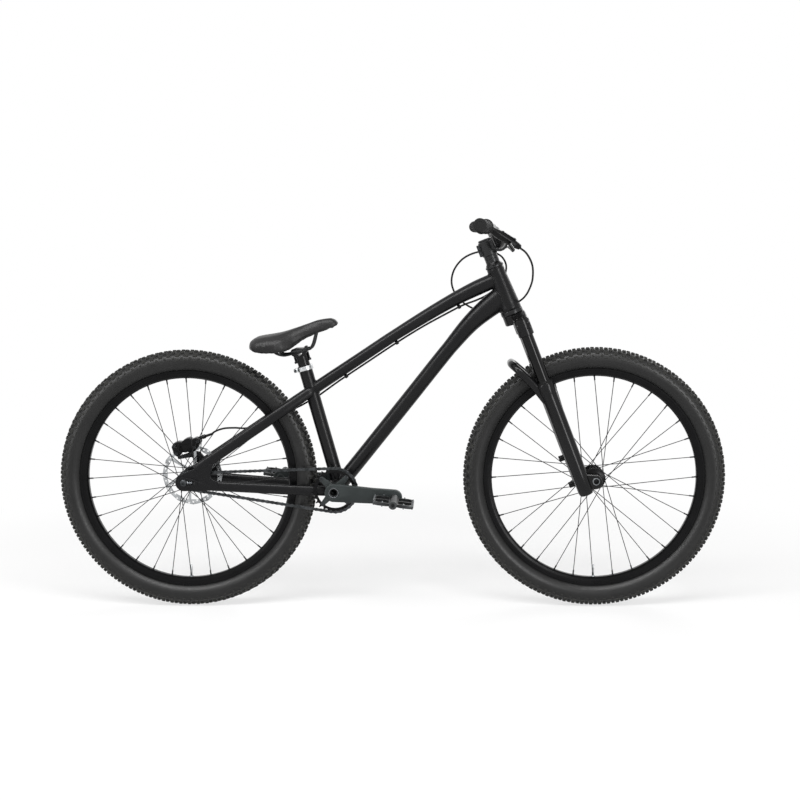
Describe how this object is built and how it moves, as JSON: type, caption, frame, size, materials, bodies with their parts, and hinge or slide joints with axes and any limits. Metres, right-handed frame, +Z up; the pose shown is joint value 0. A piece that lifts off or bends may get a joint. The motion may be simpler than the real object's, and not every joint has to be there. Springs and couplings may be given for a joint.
{
  "type": "dirt jump bike",
  "caption": "Hardtail dirt jump bike, single speed, with low seat, short suspension fork, riser handlebar, fat tyres and rear disc brake.",
  "frame": {"origin": "on the ground midway between the two axles", "axes": "+X ahead, +Y to the rider's left, +Z up"},
  "size_m": [1.722, 0.7542, 0.996],
  "materials": {
    "frame_black": "satin matt black paint",
    "alloy_black": "black anodised, satin",
    "crank_grey": "dark grey, semi matt",
    "steel": "bare steel, fine brushed",
    "silver": "polished",
    "rubber": "dark rubber",
    "grip_rubber": "matt rubber",
    "saddle_cover": "soft black cover",
    "hose_black": "matt black hose",
    "plastic_black": "black plastic"
  },
  "bodies": {
    "frame": {"front_triangle": "frame_black", "right_stays": "frame_black", "left_stays": "frame_black", "lower_cup": "alloy_black", "lower_bearing": "steel", "upper_cup": "alloy_black", "upper_bearing": "steel", "seat_collar": "silver", "right_bottom_cup": "alloy_black", "left_bottom_cup": "alloy_black", "right_bottom_bearing": "steel", "left_bottom_bearing": "steel", "rear_axle": "steel", "right_tension_screw": "silver", "left_tension_screw": "silver", "chain": "steel", "brake_caliper": "alloy_black", "caliper_bracket": "alloy_black", "hose_rear": "hose_black", "hose_clip_1": "plastic_black", "hose_clip_2": "plastic_black", "hose_clip_3": "plastic_black"},
    "seatpost": {"seatpost": "alloy_black", "saddle_clamp": "alloy_black", "saddle_rails": "steel", "saddle": "saddle_cover"},
    "steering": {"fork_crown": "crank_grey", "steerer_tube": "alloy_black", "right_stanchion": "alloy_black", "left_stanchion": "alloy_black", "headset_cover": "alloy_black", "spacer_1": "alloy_black", "spacer_2": "alloy_black", "stem": "alloy_black", "stem_faceplate": "alloy_black", "top_cap": "alloy_black", "handlebar": "alloy_black", "right_grip": "grip_rubber", "left_grip": "grip_rubber", "brake_master": "alloy_black", "hose_front": "hose_black"},
    "fork_lowers": {"fork_lowers": "alloy_black", "front_axle": "alloy_black"},
    "front_wheel": {"front_tyre": "rubber", "front_rim": "alloy_black", "front_hub": "alloy_black"},
    "rear_wheel": {"rear_tyre": "rubber", "rear_rim": "alloy_black", "rear_hub": "alloy_black", "brake_rotor": "steel"},
    "driver": {"cog": "steel"},
    "crank": {"right_crank": "crank_grey", "left_crank": "crank_grey", "crank_spindle": "steel", "chainring": "steel", "right_pedal_axle": "steel", "left_pedal_axle": "steel"},
    "right_pedal": {"right_pedal": "alloy_black"},
    "left_pedal": {"left_pedal": "alloy_black"},
    "brake_lever": {"brake_lever": "alloy_black"}
  },
  "joints": [
    {"name": "steering_turn", "type": "hinge", "parent": "frame", "child": "steering", "pos_m": [0.48197, 0, 0.31974], "axis": [-0.3535, 0, 0.9354], "range_deg": [-90, 90], "deforming": ["hose_front"]},
    {"name": "fork_travel", "type": "slide", "parent": "steering", "child": "fork_lowers", "axis": [-0.3535, 0, 0.9354], "range_m": [0, 0.1], "stiffness_N_per_m": 9000, "springref_m": -0.02},
    {"name": "front_wheel_spin", "type": "hinge", "parent": "fork_lowers", "child": "front_wheel", "pos_m": [0.525, 0, 0.336], "axis": [0, 1, 0], "continuous": true},
    {"name": "rear_wheel_spin", "type": "hinge", "parent": "frame", "child": "rear_wheel", "pos_m": [-0.525, 0, 0.336], "axis": [0, 1, 0], "continuous": true},
    {"name": "crank_spin", "type": "hinge", "parent": "frame", "child": "crank", "pos_m": [-0.14018, 0, 0.311], "axis": [0, 1, 0], "continuous": true, "deforming": ["chain"]},
    {"name": "driver_spin", "type": "hinge", "parent": "frame", "child": "driver", "pos_m": [-0.525, 0, 0.336], "axis": [0, 1, 0], "continuous": true},
    {"name": "right_pedal_spin", "type": "hinge", "parent": "crank", "child": "right_pedal", "pos_m": [0.01434, -0.143, 0.29884], "axis": [0, 1, 0], "continuous": true},
    {"name": "left_pedal_spin", "type": "hinge", "parent": "crank", "child": "left_pedal", "pos_m": [-0.2947, 0.143, 0.32316], "axis": [0, 1, 0], "continuous": true},
    {"name": "brake_lever_pull", "type": "hinge", "parent": "steering", "child": "brake_lever", "pos_m": [0.304, -0.228, 0.931], "axis": [-0.6222, 0, -0.7828], "range_deg": [0, 20], "stiffness_Nm_per_rad": 0.6, "springref_deg": -8.59},
    {"name": "seatpost_slide", "type": "slide", "parent": "frame", "child": "seatpost", "axis": [-0.2639, 0, 0.9646], "range_m": [-0.01, 0.05]}
  ],
  "couplings": [
    {"joint": "driver_spin", "follows": "crank_spin", "ratio": 2.8}
  ]
}
